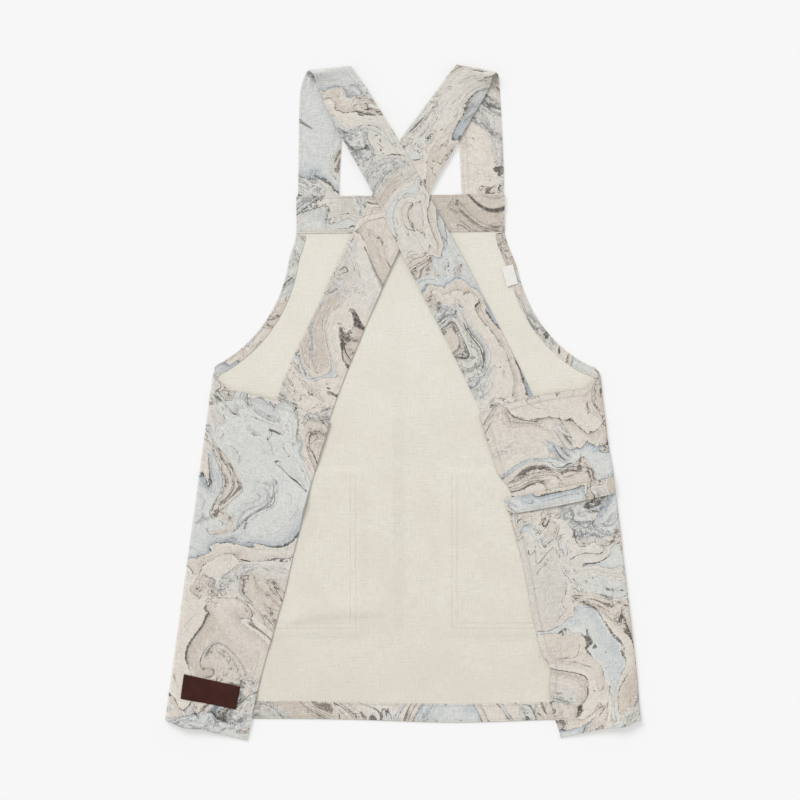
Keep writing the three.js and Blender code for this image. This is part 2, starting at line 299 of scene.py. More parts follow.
# colours laid along a value: pairs of (place, colour), from place 0 to 1
def ramp(value, stops):
    return value.node("ShaderNodeValToRGB", {"stops": stops}, {"Fac": value})


# a Voronoi pattern: the distance to the nearest point or wall, or a colour for each cell
def voronoi(at, scale, feature="F1", out=0):
    return at.node("ShaderNodeTexVoronoi", {"voronoi_dimensions": "2D", "feature": feature},
                   {"Vector": at, "Scale": scale}, out)


# a chance value for each of its cells
def cellChance(at, scale):
    colour = voronoi(at, scale, out=1)
    return colour.node("ShaderNodeSeparateColor", {}, {0: colour})


# plain values on a node's sockets
def fill(node, values):
    for key, value in values.items():
        node.inputs[key].default_value = value


# a new material, its start wire and its shader
def newMaterial(name, roughness, sheen=0.0):
    material = bpy.data.materials.new(name)
    material.use_nodes = True
    shader = material.node_tree.nodes["Principled BSDF"]
    fill(shader, {"Roughness": roughness, "Specular IOR Level": 0.2, "Sheen Weight": sheen})
    return material, Wire(material.node_tree), shader


# the place in the flat cut, in metres
def cutPlace(start):
    return start.node("ShaderNodeUVMap", {"uv_map": "cut"})


# how much painted shade a place gets: painted shade in seam grooves, a painted shadow line along the wings'
# edges
def seamShade(start):
    return start.node("ShaderNodeAttribute", {"attribute_name": "seam"}, {}, "Fac")


# a wire into one of the shader's sockets
def put(shader, socket, value):
    value.tree.links.new(value.socket, shader.inputs[socket])


# the colour and a small relief into the shader
def dress(shader, colour, relief, strength, depth):
    put(shader, "Base Color", colour)
    put(shader, "Normal", relief.node("ShaderNodeBump", {},
                                      {"Height": relief, "Strength": strength, "Distance": depth}))


# the linen's threads: fine yarns both ways, with longer thick and thin places; the place is in metres
def linenThreads(at):
    warp = noise(shifted(at, 0, 0, 1300, 110), 1.0, 1.0)
    weft = noise(shifted(at, 3, 5, 110, 1300), 1.0, 1.0)
    slubs = [noise(shifted(at, 7, 1, 430, 52), 1.0, 1.5), noise(shifted(at, 2, 9, 52, 430), 1.0, 1.5)]
    thick = most(*(fade(slub, 0.58, 0.76) for slub in slubs))
    thin = most(*(1.0 - fade(slub, 0.26, 0.42) for slub in slubs))
    return warp * 0.5 + weft * 0.5, thick, thin


inks = {
    "ground": tone(224, 216, 205),
    "rose": tone(215, 205, 193),
    "tan": tone(200, 188, 175),
    "fringe": tone(235, 231, 223),
    "chalk": tone(219, 218, 212),
    "mist": tone(214, 216, 213),
    "blue": tone(196, 202, 204),
    "deepBlue": tone(146, 159, 170),
    "bark": tone(92, 81, 74),
    "vein": tone(58, 52, 48),
    "grey": tone(112, 107, 103),
    "slate": tone(84, 88, 94),
}


# noise at a moved place, so that no two fields of the print are alike
def cloud(at, x, y, scale, detail=1.0, rough=0.5, out=0):
    return noise(shifted(at, x, y), scale, detail, rough, out)


# 1 where the field passes a level, fading outside the given width
def outline(field, level, width, soft=0.0027):
    return 1.0 - fade(abs(field - level) - width, 0.0, soft)


# thin lines at even steps of a field, a part of them left out
def contours(field, count):
    step = field * count
    near = abs(step.math("FRACT", step) - 0.5)
    kept = step.node("ShaderNodeTexWhiteNoise", {"noise_dimensions": "1D"}, {"W": step.math("FLOOR", step)})
    return (1.0 - fade(near, 0.04, 0.26)) * fade(kept, 0.3, 0.6)


# bands of tint along the print's field: the place and the ink that is pure there
tintBands = [
    (0.0, "mist"), (0.34, "mist"), (0.378, "blue"), (0.395, "deepBlue"), (0.397, "fringe"),
    (0.403, "ground"), (0.45, "rose"), (0.47, "tan"), (0.472, "fringe"), (0.48, "ground"),
    (0.53, "ground"), (0.568, "rose"), (0.57, "fringe"), (0.575, "mist"), (0.605, "blue"),
    (0.612, "fringe"), (0.62, "ground"), (0.66, "rose"), (0.72, "tan"), (1.0, "rose"),
]
# hairlines of the print: the field's level, the width, and between which weights a line breaks off
hairlines = [(0.397, 0.0030, 0.28, 0.44), (0.472, 0.0034, 0.32, 0.48), (0.57, 0.0028, 0.3, 0.46),
             (0.613, 0.0028, 0.28, 0.44), (0.66, 0.0028, 0.36, 0.48)]


# marbled ink on linen: the place is in hand-widths and is pushed sideways, each push finer than the last;
# a slow field is then cut into bands of tint, with a finer field added in the lively places
def marbled(at):
    broad = pushed(at, noise(at, 0.8, 0.6, 0.5, 1), 1.7)
    middle = pushed(broad, cloud(broad, 3.1, 7.7, 2.2, out=1), 0.62)
    fine = pushed(middle, cloud(middle, 9.3, 1.9, 8.0, 2.5, 0.6, 1), 0.12)
    flow = pushed(fine, cloud(at, 4.4, 6.1, 22.0, 3.0, 0.6, 1), 0.055)
    weight = cloud(middle, 1.0, 2.0, 6.0, 2.0)
    swell = fade(weight, 0.45, 0.72)
    lively = fade(cloud(middle, 5.0, 13.0, 0.75), 0.535, 0.645)
    finer = cloud(flow, 21.0, 4.0, 2.6, 2.0) - 0.5
    field = noise(flow, 0.5, 1.0, 0.45) + finer * lively * 0.26
    ink = ramp(field, [(place, inks[name]) for place, name in tintBands])
    # chalky stretches, then cloudy streaks in the tints
    ink = mixed(fade(cloud(broad, 6.0, 23.0, 0.55), 0.5, 0.6) * 0.55, ink, inks["chalk"])
    streak = cloud(flow, 2.0, 17.0, 9.0, 4.0, 0.65)
    ink = mixed(fade(streak, 0.5, 0.75) * 0.3, ink, inks["blue"])
    # faint grain lines along the bands, darker where it is lively
    grained = fade(cloud(middle, 8.0, 3.0, 1.5), 0.48, 0.62)
    lines = contours(field, 80.0) * fade(weight, 0.3, 0.55)
    ink = mixed(contours(field + 0.004, 44.0) * lively * 0.7, ink, inks["fringe"])
    ink = mixed(lines * (grained * 0.5 + lively * 0.8), ink, inks["grey"])
    # tangles of crinkled hairlines on a pale wash, in a few stretches only
    tangle = fade(cloud(middle, 17.0, 29.0, 0.8), 0.595, 0.628)
    crinkle = pushed(fine, cloud(at, 1.2, 8.6, 9.0, 3.0, 0.6, 1), 0.16)
    strands = most(
        outline(cloud(crinkle, 3.0, 5.0, 3.4, 1.5), 0.48, swell * 0.006, 0.022),
        outline(cloud(crinkle, 13.0, 8.0, 4.6, 1.5), 0.52, swell * 0.008, 0.03),
        outline(cloud(crinkle, 7.0, 19.0, 6.0, 1.5), 0.44, swell * 0.008, 0.036) * 0.8,
    )
    ink = mixed(tangle * 0.5, ink, mixed(fade(streak, 0.5, 0.66), inks["mist"], inks["deepBlue"]))
    ink = mixed(strands * tangle * fade(weight, 0.26, 0.5) * 0.72, ink, inks["slate"])
    # a few bark-brown ribbons, speckled as ink on linen is
    barkPlace = fade(cloud(middle, 31.0, 6.0, 1.1), 0.56, 0.60)
    speckle = fade(cloud(at, 2.0, 3.0, 45.0, 2.0), 0.3, 0.5) * 0.5 + 0.5
    bark = outline(field, 0.474, swell * 0.005) * barkPlace * speckle
    # clusters of pebbles: outlined cells with a second ring inside, a few of them dark
    crowd = cloud(middle, 14.0, 2.0, 1.2)
    crowdMask = fade(crowd, 0.635, 0.645)
    gap = voronoi(flow, 12.0, "DISTANCE_TO_EDGE")
    ink = mixed(crowdMask * 0.75, ink, inks["rose"])
    walls = (1.0 - fade(gap - swell * 0.05, 0.015, 0.05)) * fade(weight, 0.34, 0.5)
    inner = outline(gap, 0.17, 0.008, 0.03) * fade(weight, 0.4, 0.55) * 0.5
    dark = fade(cellChance(flow, 12.0), 0.84, 0.85) * fade(gap, 0.04, 0.08) * speckle
    # hairlines along the bands, thick and thin and here and there broken off
    crack = cloud(fine, 40.0, 11.0, 1.3, 2.0)
    hair = most(
        *(outline(field, level, swell * width) * fade(weight, *broken)
          for level, width, *broken in hairlines),
        outline(crack, 0.5, 0.0005, 0.004) * fade(weight, 0.46, 0.54) * 0.8,
        outline(crowd, 0.625, swell * 0.004, 0.004) * fade(weight, 0.3, 0.45),
        most(walls, inner) * crowdMask,
    )
    ink = mixed(bark, ink, inks["bark"])
    ink = mixed(hair * 0.9, ink, inks["vein"])
    ink = mixed(dark * crowdMask * 0.85, ink, inks["bark"])
    # flecks
    dot = 1.0 - fade(voronoi(middle, 9.0) - (cellChance(middle, 9.0) - 0.84), -0.03, 0.01)
    return mixed(dot * fade(weight, 0.42, 0.52) * 0.75, ink, inks["vein"])


# strength and colour of what is laid over the print
printLook = {
    "scale": 9.0, "place": (20.0, 9.0), "bump": 0.5,
    "thread": (0.24, tone(246, 242, 234)), "gap": (0.22, tone(120, 110, 102)),
    "thick": (0.25, tone(244, 240, 230)), "thin": (0.10, tone(128, 119, 110)),
    # seam: painted shade laid over the print wherever the seam attribute is set
    "mottle": (0.06, tone(150, 140, 132)), "seam": (0.16, tone(128, 118, 108)),
}


# printed linen: the marbled ink broken up by the threads, a little mottled, and darkened with painted shade
# in the seams
def printedLinen():
    material, start, shader = newMaterial("printedLinen", 0.92, 0.05)
    at = cutPlace(start)
    yarn, thick, thin = linenThreads(at)
    ink = marbled(shifted(at, *printLook["place"], printLook["scale"], printLook["scale"]))
    ink = layered(ink, printLook, {
        "thread": fade(yarn, 0.5, 0.66),
        "gap": 1.0 - fade(yarn, 0.36, 0.5),
        "thick": thick,
        "thin": thin,
        "mottle": fade(noise(at, 60.0, 3.0), 0.5, 0.8),
        # painted shade in seam grooves and painted shadow along the wings' edges
        "seam": seamShade(start),
    })
    dress(shader, ink, yarn + thick * 0.6 - thin * 0.3, printLook["bump"], 0.0006)
    return material


pocketCut = {"width": 165, "height": 217, "foot": -318.5, "inner": {-1: -63.5, 1: 66}, "relief": 1.3,
             "rows": (2.5, 10.0), "grooves": (2.5, 9), "groove": 0.25, "mouthHem": 22, "mouthGroove": 0.3,
             "rim": 0.2, "threadLevel": 0.25, "cut": (4000, 400)}


# 1 in the rows of stitches that hold the pockets: a line inset from three sides of each, open at the mouth
def pocketLines(at):
    x, y = (at.node("ShaderNodeSeparateXYZ", {}, {0: at}, k) for k in (0, 1))
    half, foot = pocketCut["width"] / 2 * mm, pocketCut["foot"] * mm
    mouth = foot + pocketCut["height"] * mm
    lines = []
    for side, inner in pocketCut["inner"].items():
        outside = most(abs(x - (inner * mm + side * half)) - half, foot - y)
        lines += [1.0 - fade(abs(outside + inset * mm), 0.0003, 0.0014) for inset in pocketCut["rows"]]
    return most(*lines) * (1.0 - fade(y, mouth - 0.002, mouth))


# the two yarn colours, then strength and colour of what is laid over them
creamLook = {
    "base": tone(228, 224, 212), "gap": tone(220, 215, 201), "bump": 0.32,
    "thick": (0.4, tone(238, 235, 225)), "thin": (0.3, tone(208, 202, 186)),
    "cloud": (0.45, tone(219, 213, 199)), "speck": (0.6, tone(96, 80, 62)),
    # high and low: a painted light falloff, paler towards the top and darker towards the foot
    "high": (0.3, tone(238, 235, 225)), "low": (0.22, tone(208, 202, 186)),
    # sewn: painted shade in the stitched grooves round the pockets
    "sewn": (0.05, tone(186, 177, 158)),
}


# plain linen: cream yarns with clouds and a few specks, with a painted light falloff paler towards the top
# and darker towards the foot, dented and darkened with painted shade where pockets are sewn
def plainLinen():
    material, start, shader = newMaterial("plainLinen", 0.93, 0.05)
    at = cutPlace(start)
    yarn, thick, thin = linenThreads(at)
    height = at.node("ShaderNodeSeparateXYZ", {}, {0: at}, 1)
    rare = fade(cellChance(at, 26.0), 0.9, 0.91)
    # the pockets' stitch lines: darkened with painted shade in the colour, and dented in the bump
    sewn = pocketLines(at)
    ink = mixed(fade(yarn, 0.34, 0.54), creamLook["gap"], creamLook["base"])
    ink = layered(ink, creamLook, {
        "thick": thick,
        "thin": thin,
        "cloud": fade(noise(at, 14.0, 3.0), 0.36, 0.68),
        # painted light falloff: lighter high on the cloth, darker low down
        "high": fade(height, -0.15, 0.12),
        "low": 1.0 - fade(height, -0.46, -0.1),
        "speck": (1.0 - fade(voronoi(at, 26.0), 0.012, 0.02)) * rare,
        "sewn": sewn,
    })
    dress(shader, ink, yarn + thick * 0.8 - thin * 0.4 - sewn * 0.8, creamLook["bump"], 0.0006)
    return material


hideLook = {"dark": tone(58, 25, 18), "light": tone(72, 33, 23), "crease": tone(40, 16, 12)}


# leather: two browns in clouds, with darker creases between the cells of the grain
def leather():
    material, start, shader = newMaterial("labelLeather", 0.55)
    at = cutPlace(start)
    grain = voronoi(pushed(at, noise(at, 300.0, 1.0, 0.5, 1), 0.003), 850.0, "DISTANCE_TO_EDGE")
    cloudy = noise(at, 45.0, 4.0, 0.6)
    hide = mixed(fade(cloudy, 0.3, 0.75), hideLook["dark"], hideLook["light"])
    hide = mixed((1.0 - fade(grain, 0.0, 0.12)) * 0.5, hide, hideLook["crease"])
    put(shader, "Roughness", 0.45 + cloudy * 0.3)
    dress(shader, hide, fade(grain, 0.0, 0.2), 0.5, 0.0002)
    return material


# white tape: fine ribs across its length
def whiteTape():
    material, start, shader = newMaterial("whiteTape", 0.7, 0.1)
    at = cutPlace(start)
    ribs = noise(shifted(at, 0, 0, 60, 1500), 1.0, 1.0)
    white = mixed(fade(ribs, 0.3, 0.7), tone(228, 226, 221), tone(239, 237, 232))
    dress(shader, white, ribs, 0.2, 0.0002)
    return material


# sewing thread: plies of two tones
def sewingThread():
    material, start, shader = newMaterial("sewingThread", 0.8, 0.1)
    at = start.node("ShaderNodeTexCoord", {}, {}, "Object")
    ply = noise(at, 1800.0, 1.0)
    twist = mixed(fade(ply, 0.3, 0.7), tone(196, 190, 178), tone(232, 228, 218))
    dress(shader, twist, ply, 0.5, 0.0002)
    return material


printCloth = printedLinen()
creamCloth = plainLinen()
labelHide = leather()
tagTape = whiteTape()
thread = sewingThread()
print("materials made")


# stitches: short swelling capsules laid along paths

threadLook = {"pitch": 3.3, "length": 2.7, "width": 0.55, "taper": 0.94, "lift": 0.12, "sink": 0.35}


# stitches along paths, each path with its way up: a stitch has five rings of six points along its length,
# swelling in the middle and sinking at both ends
def stitchRows(name, paths):
    c = threadLook
    rings, sides = 5, 6
    along = np.linspace(-1, 1, rings)[:, None]
    turn = np.arange(sides) * 2 * pi / sides
    swell = np.sqrt(np.maximum(1 - along ** 2 * c["taper"], 0))
    local = stack(along * c["length"] / 2,
                  np.cos(turn) * swell * c["width"] / 2,
                  np.sin(turn) * swell * c["width"] / 2 + c["lift"] - c["sink"] * along ** 4)
    ids = np.arange(rings * sides).reshape(rings, sides)
    around = np.roll(ids, -1, 1)
    body = np.stack([ids[:-1], around[:-1], around[1:], ids[1:]], -1).reshape(-1, 4)
    first = np.array([[0, 5, 4, 1], [1, 4, 3, 2]])  # two faces close the ring at either end
    last = np.array([[0, 1, 4, 5], [1, 2, 3, 4]]) + (rings - 1) * sides
    quads = np.concatenate([body, first, last])
    points = []
    for path, up in paths:
        length = runLength(path)
        centres = np.arange(c["pitch"] / 2, length[-1], c["pitch"])
        centre = readAlong(length, path, centres)
        ahead = readAlong(length, path, centres + 1) - readAlong(length, path, centres - 1)
        ahead /= np.maximum(np.linalg.norm(ahead, axis=1, keepdims=True), 1e-9)
        rise = readAlong(length, np.broadcast_to(np.asarray(up, float), path.shape), centres)
        side = np.cross(rise, ahead)
        side /= np.linalg.norm(side, axis=1, keepdims=True)
        rise = np.cross(ahead, side)
        axes = np.stack([ahead, side, rise], 1)
        points.append(centre[:, None] + np.einsum("mk,nkj->nmj", local.reshape(-1, 3), axes))
    points = np.concatenate(points)
    faces = quads[None] + (np.arange(len(points)) * rings * sides)[:, None, None]
    piece = meshPiece(name, points.reshape(-1, 3) * mm, faces.reshape(-1, 4), [thread])


# body: bib, front and two wings folded over the front

bodyCloth = {
    "wall": 1.0,
    "bibTop": 290, "bibHalf": {-1: 149, 1: 142}, "bibSkew": 0.012,
    "armholeTop": 230, "armholeCentre": {-1: 342.5, 1: 340.5}, "armholeEase": {-1: 30, 1: 45},
    "armholeAcross": 185, "armholeDrop": 198, "armholeEnd": 49,
    "foldTop": 45, "hemLine": -444, "hemRise": 2.2, "hemSag": 5.5, "sagAt": 0.22, "sagWidth": 0.38,
    "foldRadius": 2.9, "foldWave": 0.1, "foldWaveLength": 150,
    "foldBulge": {-1: 0, 1: 2.6}, "bulgeSpan": (0.2, 0.3, 0.85, 1),
    "rollDrop": 9, "cornerDrop": 17, "cornerReach": 0.14, "wingTopBow": 9,
    # the last key of the next line sets how strongly a painted shadow line is laid along the wings' edges
    "turnedEdge": 9.5, "edgeRaise": 0.45, "groove": 0.45, "pucker": 0.2, "edgeShadowLine": 1.8,
    "hemBow": 3.5, "bowAt": 0.2, "bowWidth": 0.16,
    "hemOpen": 0.9, "hemLift": 3.0, "liftSpan": (0, 0.2, 0.6, 1),
    "settled": 0.8, "waveSpan": (0.05, 0.5, 0.8, 0.95),
    "waves": [(0.5, 120, 21), (0.3, 46, 31)],  # height, wavelength, seed
    "wingWidth": 160, "foldColumns": 9, "bibRows": 56,
    "frontColumns": 112, "creaseColumns": (-0.08, 0.03, 20),
}
skirtLength = bodyCloth["foldTop"] - bodyCloth["hemLine"]
sideFold = {-1: (-265, -332.5), 1: (275, 332.5)}  # x of the fold at its top and at the hem
# the two free edges of the wings from the top down: left x, y, right x, y
freeEdge = np.array([
    [-102, -27, 106, -17],
    [-129, -116, 134, -107],
    [-154, -205, 160, -198],
    [-174, -295, 182, -288],
    [-199, -384, 207, -379],
    [-218, -473, 220, -469],
])
# the height of a free edge at shares of its length, resting on the strap's end, the pocket and the hem
edgeRest = np.array([[0, 4.9], [0.05, 4.8], [0.1, 4.2], [0.16, 3.5], [0.64, 3.5], [0.72, 2.7], [0.83, 2.7],
                     [0.87, 3.9], [0.93, 4.0], [0.97, 2.9], [1, 2.0]])
# stretches of a free edge that stand up: share, reach, height
wingLift = {-1: (0.265, 0.042, 4.5), 1: (0.75, 0.05, 2.0)}
# stretches of a free edge that lie out of line: how far, then the shares where it starts, holds and ends
edgeWaver = {
    -1: [(2.5, 0.27, 0.34, 0.5, 0.62)],
    1: [(11, 0.177, 0.237, 0.285, 0.325), (-6, 0.46, 0.715, 0.743, 0.766), (-6, 0.794, 0.847, 0.914, 0.991)],
}


# half the bib's width: a quarter ellipse that eases into the straight side
def bibHalf(side, y):
    c = bodyCloth
    drop = np.clip((c["armholeTop"] - y) / c["armholeDrop"], 0, 1)
    ellipse = c["armholeCentre"][side] - c["armholeAcross"] * np.sqrt(1 - drop ** 2)
    straight = ease(y, c["armholeTop"] - c["armholeEase"][side], c["armholeTop"] + 12)
    return blend(ellipse, c["bibHalf"][side], straight)


# how much the bib leans up towards +x at a height
def bibLean(x, y):
    return bodyCloth["bibSkew"] * x * ease(y, bodyCloth["armholeEnd"], bodyCloth["bibTop"])


# a straight line from the fold's top to the hem, by share of its length; below the towel loop it bulges
def foldLine(side, share):
    top, hem = sideFold[side]
    bulge = bodyCloth["foldBulge"][side] * window(share, *bodyCloth["bulgeSpan"])
    return blend(top, hem, share) + bulge, blend(bodyCloth["foldTop"], bodyCloth["hemLine"], share)


# the flat direction square to the fold, towards the middle
def foldInward(side):
    top, hem = sideFold[side]
    down = np.array([hem - top, -skirtLength]) / np.hypot(hem - top, skirtLength)
    return np.array([-down[1], down[0]]) * -side


# the half-round fold: turn 0 lies on the floor, turn pi on top; with the way to the inner face
def foldBase(side, share, turn):
    c = bodyCloth
    uneven = ripple(share * skirtLength, side * 50, c["foldWaveLength"], 11)
    radius = c["foldRadius"] * (1 + c["foldWave"] * uneven)
    radius = radius * (1 + c["hemOpen"] * ease(share, 0.9, 1))
    lower = c["rollDrop"] / skirtLength * (1 - share) ** 2 * (1 - np.cos(turn)) / 2
    inward = foldInward(side)
    x, y = foldLine(side, share + lower)
    reach = radius - radius * np.sin(turn)
    base = stack(x + inward[0] * reach, y + inward[1] * reach, radius - radius * np.cos(turn))
    way = stack(inward[0] * np.sin(turn), inward[1] * np.sin(turn), np.cos(turn) + 0 * share)
    return base, way


# a wing: straight from the fold's upper side to the free edge, its top bowed and falling off beside the
# fold, its height easing down to the free edge; the edge's waver is left out for what is sewn on the wing
def wingBase(side, share, across, waver=1.0):
    c = bodyCloth
    share, across = np.broadcast_arrays(share, across)
    start, _ = foldBase(side, share, np.full(share.shape, pi))
    edge = curveThrough(freeEdge, share * (len(freeEdge) - 1))
    edgeX, edgeY = (edge[..., 0], edge[..., 1]) if side < 0 else (edge[..., 2], edge[..., 3])
    for amount, *span in edgeWaver[side]:
        edgeX = edgeX + waver * amount * window(share, *span)
    x = blend(start[..., 0], edgeX, across)
    y = blend(start[..., 1], edgeY, across)
    y = y + c["wingTopBow"] * 4 * np.maximum(across, 0) * (1 - across) * (1 - share) ** 3
    y = y - c["cornerDrop"] * ease(across, 0, c["cornerReach"]) * (1 - across) * (1 - share) ** 2
    y = y - c["hemBow"] * ridge(across, c["bowAt"], c["bowWidth"]) * ease(across, 0, 0.1) * share ** 20
    rest = np.interp(share, edgeRest[:, 0], edgeRest[:, 1])
    z = blend(start[..., 2], rest, ease(across, 0, c["settled"]))
    loose = window(across, *c["waveSpan"]) * ease(share, 0.2, 0.45)
    wavy = sum(tall * ripple(x, y, length, seed + side) for tall, length, seed in c["waves"])
    place, reach, height = wingLift[side]
    stood = height * ridge(share, place, reach) * ease(across, 0.6, 1) ** 2
    z = z + loose * np.maximum(wavy, 0) + stood
    z = z + c["hemLift"] * ease(share, 0.92, 1) * window(across, *c["liftSpan"])
    return stack(x, y, z)


# how wide a wing is at a share of its length
def wingWidth(side, share):
    reach = wingBase(side, np.atleast_1d(share), 1.0) - wingBase(side, np.atleast_1d(share), 0.0)
    return np.linalg.norm(reach[..., :2], axis=-1)


# how far a place of a wing lies from its nearest sewn edge
def wingInset(side, share, across):
    share, across = np.broadcast_arrays(share, across)
    toFree = (1 - across) * wingWidth(side, share.ravel()).reshape(share.shape)
    return np.minimum(toFree, endInset(share, skirtLength))


# how far a place of the front lies outside a pocket: 0 inside
def pocketGap(x, y):
    gaps = []
    for side, inner in pocketCut["inner"].items():
        middle = inner + side * pocketCut["width"] / 2
        outX = np.abs(x - middle) - pocketCut["width"] / 2
        outY = np.abs(y - pocketCut["foot"] - pocketCut["height"] / 2) - pocketCut["height"] / 2
        gaps.append(np.hypot(np.maximum(outX, 0), np.maximum(outY, 0)))
    return np.minimum(*gaps)


frontRelief = {
    "pocketRim": (2, 14), "clear": (14, 40),
    "wave": 0.3, "waveLength": 90, "waveRise": 0.2, "waveSpan": (-410, -380, 60, 200),
    "strapEndX": (50, 90), "strapEndY": (-90, -50),
    "crease": 2.0, "creaseRise": (-90, -22), "creaseEdge": -14, "creaseFall": 16.5,
    "creaseSpan": (-350, -300, -40, 20),
    "wrinkle": 1.9, "wrinkleTop": (-60, -293), "wrinkleBend": 0.0011, "wrinkleFlanks": (11, 34),
    "wrinkleSpan": (-175, -140, -50, -15),
}


# the front's lower face: raised over the pockets, with soft waves that die out under the straps' ends, a
# pressed middle crease that falls off to the right, and one wrinkle across the foot of the left pocket
def frontHeight(x, y):
    c = frontRelief
    gap = pocketGap(x, y)
    z = pocketCut["relief"] * (1 - ease(gap, *c["pocketRim"]))
    away = ease(gap, *c["clear"]) * window(y, *c["waveSpan"])
    away = away * (1 - ease(np.abs(x), *c["strapEndX"]) * ease(y, *c["strapEndY"]))
    z = z + away * np.maximum(c["wave"] * ripple(x, y, c["waveLength"], 41) + c["waveRise"], 0)
    pressed = ease(x, *c["creaseRise"]) - np.clip((x - c["creaseEdge"]) / c["creaseFall"], 0, 1)
    z = z + c["crease"] * np.maximum(pressed, 0) * window(y, *c["creaseSpan"])
    topX, topY = c["wrinkleTop"]
    below, above = c["wrinkleFlanks"]
    crest = topY - c["wrinkleBend"] * (x - topX) ** 2
    wrinkle = window(y, crest - below, crest, crest, crest + above)
    return z + c["wrinkle"] * wrinkle * window(x, *c["wrinkleSpan"])


# how far the hem lies above the folds' ends: a small rise less a broad sag right of the middle
def hemLie(across):
    c = bodyCloth
    return (c["hemRise"] - c["hemSag"] * ridge(across, c["sagAt"], c["sagWidth"])) * (1 - across ** 8)


# the two places where the folds meet the front, at a share of their length
def foldFeet(share):
    return [foldBase(side, share, np.zeros(share.shape))[0] for side in hands]


# the front between the folds, share 0 at the top and 1 at the hem, across -1 to 1
def skirtBase(share, across):
    share, across = np.broadcast_arrays(share, across)
    at = blend(*foldFeet(share), (across[..., None] + 1) / 2)
    x = at[..., 0]
    y = at[..., 1] + hemLie(across) * share ** 6
    return stack(x, y, frontHeight(x, y))


# the bib between the armholes at a height
def bibBase(y, across):
    y, across = np.broadcast_arrays(y, across)
    footLeft, footRight = foldFeet(np.zeros(y.shape))
    settle = ease(y, bodyCloth["foldTop"] - 1, bodyCloth["foldTop"] + 10)
    left = blend(footLeft[..., 0], -bibHalf(-1, y), settle)
    right = blend(footRight[..., 0], bibHalf(1, y), settle)
    x = blend(left, right, (across + 1) / 2)
    return stack(x, y + bibLean(x, y), 0 * x)


# one strip of the cloth as an array: outer place, inner place, place in the cut, seam
def clothStrip(outer, inner, flat, seam):
    return np.concatenate([outer, inner, flat, seam[..., None]], -1)


# a strip that ends at the armhole, filled up with empty rows beside the bib
def besideBib(strip, rows):
    return np.concatenate([strip, np.zeros((rows, *strip.shape[1:]))])


# the cloth in strips side by side: left wing, its fold, front and bib, the other fold, right wing
def buildBody():
    c = bodyCloth
    wall = c["wall"]
    share = graded(skirtLength, 4.0, 1.6, 14)[::-1][:, None]
    bibY = np.linspace(c["armholeEnd"], c["bibTop"], c["bibRows"])[:, None]
    wingAcross = graded(c["wingWidth"], 4.2, 1.5, 14, start=False)[None]
    turn = np.linspace(pi, 0, c["foldColumns"])[None]
    # columns of the front, closer together at the middle crease
    even, close = np.linspace(-1, 1, c["frontColumns"]), np.linspace(*c["creaseColumns"])
    frontAcross = np.unique(np.concatenate([even, close]))[None]
    wings, rolls = {}, {}
    for side in hands:
        foldX, foldY = foldLine(side, share)
        wing = wingBase(side, share, wingAcross)
        inset = wingInset(side, share, wingAcross)
        sewn = 1 - ease(inset, c["turnedEdge"] - 0.6, c["turnedEdge"] + 1.4)
        groove = ridge(inset, c["turnedEdge"], 1.1)
        raised = sewn * c["edgeRaise"] - c["groove"] * groove
        raised = raised + c["pucker"] * sewn * ripple(wing[..., 0], wing[..., 1], 11, 51 + side)
        # painted shade in the turned edge's groove, and a painted shadow line along the wing's outermost edge
        edgeAndSeamShade = groove + c["edgeShadowLine"] * (1 - ease(inset, 0, 1.2))
        width = wingWidth(side, share.ravel())[:, None]
        flat = stack(foldX + side * (pi * c["foldRadius"] + wingAcross * width), foldY)
        wings[side] = clothStrip(lifted(wing, raised), wing - upward * wall, flat, edgeAndSeamShade)
        roll, way = foldBase(side, *np.broadcast_arrays(share, turn))
        flat = stack(foldX + side * c["foldRadius"] * turn, foldY)
        rolls[side] = clothStrip(roll, roll + way * wall, flat, np.zeros(roll.shape[:2]))
    front = np.concatenate([skirtBase(share, frontAcross), bibBase(bibY, frontAcross)])
    front = clothStrip(front, front + upward * wall, front[..., :2], np.zeros(front.shape[:2]))
    left = [besideBib(strip, len(bibY)) for strip in (wings[-1][:, ::-1], rolls[-1][:, 1:-1])]
    right = [besideBib(strip, len(bibY)) for strip in (rolls[1][:, -2:0:-1], wings[1])]
    cloth = np.concatenate([*left, front, *right], 1)
    cells = np.ones((cloth.shape[0] - 1, cloth.shape[1] - 1), bool)
    firstFront = wingAcross.size + turn.size - 2
    cells[len(share) - 1:, :firstFront] = False
    cells[len(share) - 1:, firstFront + frontAcross.size - 1:] = False
    outer, inner, flat, seam = np.split(cloth, [3, 6, 8], -1)
    return clothWall("body_cloth", outer, inner, flat, [printCloth, creamCloth, printCloth], cells, seam)


bodyPiece = buildBody()
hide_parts("body_panel")
print("body made")


# facings: strips on the inside of the front

facingCut = {"wall": 1.0, "gap": 0.3, "bibHeight": 52, "armholeWidth": 13, "armholeTop": 237, "hemHeight": 25,
             "climb": 2.3, "climbLeft": (-88, -74), "climbRight": (66, 80), "climbFoot": (254, 273),
             "seam": 3.0, "groove": (0.25, 1.2), "puff": (0.15, 3.0, 7), "rim": (0.3, 0.8), "pucker": 0.12,
             "bibCut": (-600, 2400), "hemCut": (300, -1500), "armholeCut": (1400, 300),
             "armholeInset": 0.4, "armholeRows": (3.4, 10.4), "threadSink": 0.2}
facingLift = bodyCloth["wall"] + facingCut["gap"]


# the relief of a sewn strip by distance from its edge: a groove at the seam (depth, width), fuller cloth
# further in (height, from, to), a rounded rim (drop, width)
def sewnRelief(inset, cut):
    (depth, width), (full, low, high), (drop, reach) = cut["groove"], cut["puff"], cut["rim"]
    relief = -depth * ridge(inset, cut["seam"], width) + full * ease(inset, low, high)
    return relief - drop * (1 - ease(inset, 0, reach))


